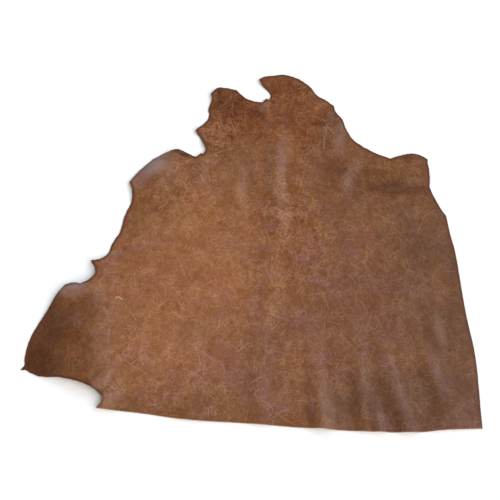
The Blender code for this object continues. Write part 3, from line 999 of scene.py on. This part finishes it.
def build_sheet(settings):
    """The hide as a finely meshed sheet on the folds of its solid."""
    shape = settings.shape
    outline, trimmed, paleness = outline_points(shape.edge_step)
    middle = (outline.min(axis=0) + outline.max(axis=0)) / 2
    outline = ragged(outline, trimmed, shape)
    points = np.concatenate([outline, lattice_points(outline, shape.pitch)])
    count = len(outline)
    edges = [(k, (k + 1) % count) for k in range(count)]
    kept_inside = 1
    found = delaunay_2d_cdt([Vector(p) for p in points], edges, [], kept_inside, 1e-7)
    points = np.array([tuple(v) for v in found[0]])
    heights = underside_height(points, shape)
    tree = edge_tree(outline)
    nearest = [tree.find((x, y, 0.0)) for x, y in points]

    mesh = bpy.data.meshes.new("hide_sheet")
    vertices = [(x, y, z) for (x, y), z in zip(points - middle, heights)]
    mesh.from_pydata(vertices, [], found[2])
    # Stored on the points: the tone patches with their painted shade, shadow and light, the painted
    # light steps and the painted sheen.
    light, warmth, depth = patch_sums(points, TONE_AND_PAINTED_LIGHT_PATCHES)
    light_steps, warmth_steps = painted_light_step_sums(points)
    markings, hues = 1.0 + patch_sums(points, MARKINGS)
    store(mesh, lightness=light + light_steps, warmth=warmth + warmth_steps, depth=depth)
    store(mesh, rubbed=patch_sums(points, PAINTED_SHEEN_PATCHES)[0], markings=markings, hues=hues)
    store(mesh, edge_gap=[hit[2] / MM for hit in nearest])
    store(mesh, paleness=[paleness[hit[1]] for hit in nearest])
    for material in hide_materials(settings.finish):
        mesh.materials.append(material)
    sheet = new_object("hide_sheet", mesh)
    thickness = sheet.modifiers.new("thickness", "SOLIDIFY")
    thickness.thickness = shape.thickness
    thickness.offset = 1.0
    thickness.use_even_offset = True
    thickness.material_offset = 1
    thickness.material_offset_rim = 2
    mesh = settle(sheet)
    mesh.shade_smooth()
    mesh.set_sharp_from_angle(angle=math.radians(50))
    return sheet


def build_studio(settings):
    """The floor, the lamps, the even sky and the camera."""
    studio = settings.studio
    bpy.ops.mesh.primitive_plane_add(size=FLOOR_SIDE)
    floor = bpy.context.object
    floor.name = "studio_floor"
    material = bpy.data.materials.new("studio floor")
    material.use_nodes = True
    shader = material.node_tree.nodes["Principled BSDF"]
    set_inputs(shader, {"Base Color": studio.floor, "Roughness": 0.9, "Specular IOR Level": 0.0})
    floor.data.materials.append(material)

    world = bpy.data.worlds.new("studio sky")
    world.use_nodes = True
    background = world.node_tree.nodes["Background"]
    set_inputs(background, {"Color": studio.sky_colour, "Strength": studio.sky})
    bpy.context.scene.world = world
    bpy.context.scene.view_settings.view_transform = "Standard"

    for name, azimuth, elevation, width, strength, colour in LAMPS:
        light = bpy.data.lights.new(name, "SUN")
        light.angle = math.radians(width)
        light.energy = strength * studio.lamp_scale
        light.color = colour
        lamp = new_object(name, light)
        lamp.location = around(azimuth, elevation, LAMP_DISTANCE)
        lamp.rotation_euler = (-Vector(lamp.location)).to_track_quat("-Z", "Y").to_euler()

    camera_data = bpy.data.cameras.new("photo camera")
    camera_data.lens = CAMERA_LENS
    camera = new_object("photo camera", camera_data)
    aim = Vector((CAMERA_AIM[0] * MM, CAMERA_AIM[1] * MM, 0.0))
    camera.location = aim + around(0.0, CAMERA_ELEVATION, CAMERA_DISTANCE)
    camera.rotation_euler = (math.radians(90.0 - CAMERA_ELEVATION), 0.0, 0.0)
    bpy.context.scene.camera = camera


def around(azimuth, elevation, distance):
    """The place at a distance from the origin. Azimuth 0 is the camera's side, 90 is the right."""
    turn, rise = math.radians(azimuth), math.radians(elevation)
    flat = math.cos(rise) * distance
    return Vector((math.sin(turn) * flat, -math.cos(turn) * flat, math.sin(rise) * distance))


class LEATHER_HIDE_OT_build_sheet(bpy.types.Operator):
    """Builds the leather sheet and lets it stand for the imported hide."""

    bl_idname = "leather_hide.build_sheet"
    bl_label = "Build Sheet"

    def execute(self, context):
        sheet = build_sheet(context.scene.leather_hide)
        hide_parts(CAD_NODE)
        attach(sheet, BODY)
        return {"FINISHED"}


class LEATHER_HIDE_OT_set_studio(bpy.types.Operator):
    """Sets the floor, the light and the camera."""

    bl_idname = "leather_hide.set_studio"
    bl_label = "Set Studio"

    def execute(self, context):
        build_studio(context.scene.leather_hide)
        return {"FINISHED"}


class VIEW3D_PT_leather_hide(bpy.types.Panel):
    """The hide's settings and its build steps."""

    bl_label = "Leather Hide"
    bl_space_type = "VIEW_3D"
    bl_region_type = "UI"
    bl_category = "Leather Hide"

    def draw(self, context):
        settings = context.scene.leather_hide
        layout = self.layout
        for group in (settings.shape, settings.finish, settings.studio):
            box = layout.box()
            for name in group.bl_rna.properties.keys():
                if name not in {"rna_type", "name"}:
                    box.prop(group, name)
        layout.operator(LEATHER_HIDE_OT_build_sheet.bl_idname)
        layout.operator(LEATHER_HIDE_OT_set_studio.bl_idname)


CLASSES = (
    HideShape,
    HideFinish,
    HideStudio,
    LeatherHideSettings,
    LEATHER_HIDE_OT_build_sheet,
    LEATHER_HIDE_OT_set_studio,
    VIEW3D_PT_leather_hide,
)


def register():
    """Adds the add-on's classes and its settings on the scene."""
    for cls in CLASSES:
        bpy.utils.register_class(cls)
    bpy.types.Scene.leather_hide = bpy.props.PointerProperty(type=LeatherHideSettings)


def unregister():
    """Removes what register added."""
    del bpy.types.Scene.leather_hide
    for cls in reversed(CLASSES):
        bpy.utils.unregister_class(cls)


def main():
    """Builds the hide and its studio in order."""
    register()
    bpy.ops.leather_hide.build_sheet()
    bpy.ops.leather_hide.set_studio()


if __name__ == "__main__":
    main()
